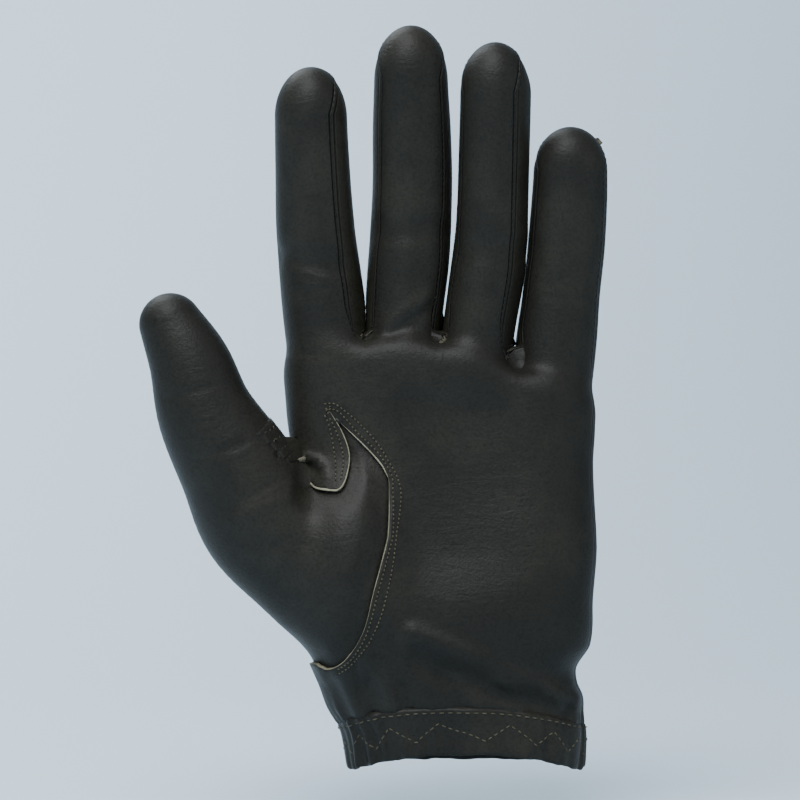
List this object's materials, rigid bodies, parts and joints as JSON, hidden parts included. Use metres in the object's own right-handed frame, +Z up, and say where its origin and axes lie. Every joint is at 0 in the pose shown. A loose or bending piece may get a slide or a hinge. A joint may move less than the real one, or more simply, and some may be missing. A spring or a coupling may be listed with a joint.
{
  "type": "driving glove",
  "caption": "Left-hand full-finger leather driving glove with fourchettes, a set-in thumb and an elastic-gathered wrist hem, holding the shape of the hand it is worn on",
  "frame": {"origin": "the middle of the wrist opening", "axes": "+Z up along the fingers, the palm faces -Y, the thumb points to -X"},
  "size_m": [0.1274, 0.0463, 0.2035],
  "materials": {
    "glove_leather": "satin, fine grain, very dark olive brown",
    "fourchette_leather": "satin, fine grain, dark olive brown",
    "hem_leather": "satin, fine grain, gathered",
    "raw_edge": "matt, cut edge, pale khaki",
    "suede_inside": "matt suede, grey khaki",
    "thread": "twisted thread, khaki olive"
  },
  "bodies": {
    "root": {"palm_panel": "glove_leather", "back_panel": "glove_leather", "fourchette_index_middle": "fourchette_leather", "fourchette_middle_ring": "fourchette_leather", "fourchette_ring_little": "fourchette_leather", "thumb_palm_half": "glove_leather", "thumb_back_half": "glove_leather", "wrist_hem": "hem_leather"}
  },
  "joints": []
}
